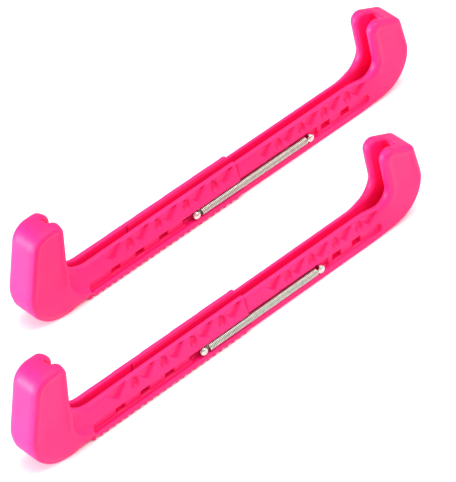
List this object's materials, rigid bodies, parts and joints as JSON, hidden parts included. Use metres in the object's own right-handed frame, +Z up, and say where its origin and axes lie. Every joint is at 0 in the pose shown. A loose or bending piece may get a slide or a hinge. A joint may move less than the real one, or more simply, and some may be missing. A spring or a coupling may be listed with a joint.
{
  "type": "skate blade guards",
  "caption": "Pair of adjustable hard blade guards for figure skates: hooked heel half, sliding toe half, side springs.",
  "frame": {"origin": "midway under the pair, on the floor both guards stand on", "axes": "+X from heel to toe along both guards, +Y to the left guard side, +Z up"},
  "size_m": [0.375, 0.1058, 0.067],
  "materials": {
    "guard_plastic": "satin moulded hot pink",
    "spring_wire": "drawn wire, plain",
    "pin_steel": "bright domed head"
  },
  "bodies": {
    "guard_a_heel_body": {"guard_a_heel_half": "guard_plastic", "guard_a_heel_pin_left": "pin_steel", "guard_a_heel_pin_right": "pin_steel", "guard_a_spring_left": "spring_wire", "guard_a_spring_right": "spring_wire"},
    "guard_a_toe_body": {"guard_a_toe_half": "guard_plastic", "guard_a_toe_pin_left": "pin_steel", "guard_a_toe_pin_right": "pin_steel"},
    "guard_b_heel_body": {"guard_b_heel_half": "guard_plastic", "guard_b_heel_pin_left": "pin_steel", "guard_b_heel_pin_right": "pin_steel", "guard_b_spring_left": "spring_wire", "guard_b_spring_right": "spring_wire"},
    "guard_b_toe_body": {"guard_b_toe_half": "guard_plastic", "guard_b_toe_pin_left": "pin_steel", "guard_b_toe_pin_right": "pin_steel"}
  },
  "joints": [
    {"name": "guard_a_toe_slide", "type": "slide", "parent": "guard_a_heel_body", "child": "guard_a_toe_body", "axis": [1, 0, 0], "range_m": [0, 0.036], "stiffness_N_per_m": 280, "springref_m": -0.01, "deforming": ["guard_a_spring_left", "guard_a_spring_right"]},
    {"name": "guard_b_lift", "type": "slide", "parent": "guard_a_heel_body", "child": "guard_b_heel_body", "axis": [0, 0, 1], "range_m": [0, 0.1]},
    {"name": "guard_b_toe_slide", "type": "slide", "parent": "guard_b_heel_body", "child": "guard_b_toe_body", "axis": [1, 0, 0], "range_m": [0, 0.036], "stiffness_N_per_m": 280, "springref_m": -0.01, "deforming": ["guard_b_spring_left", "guard_b_spring_right"]}
  ]
}
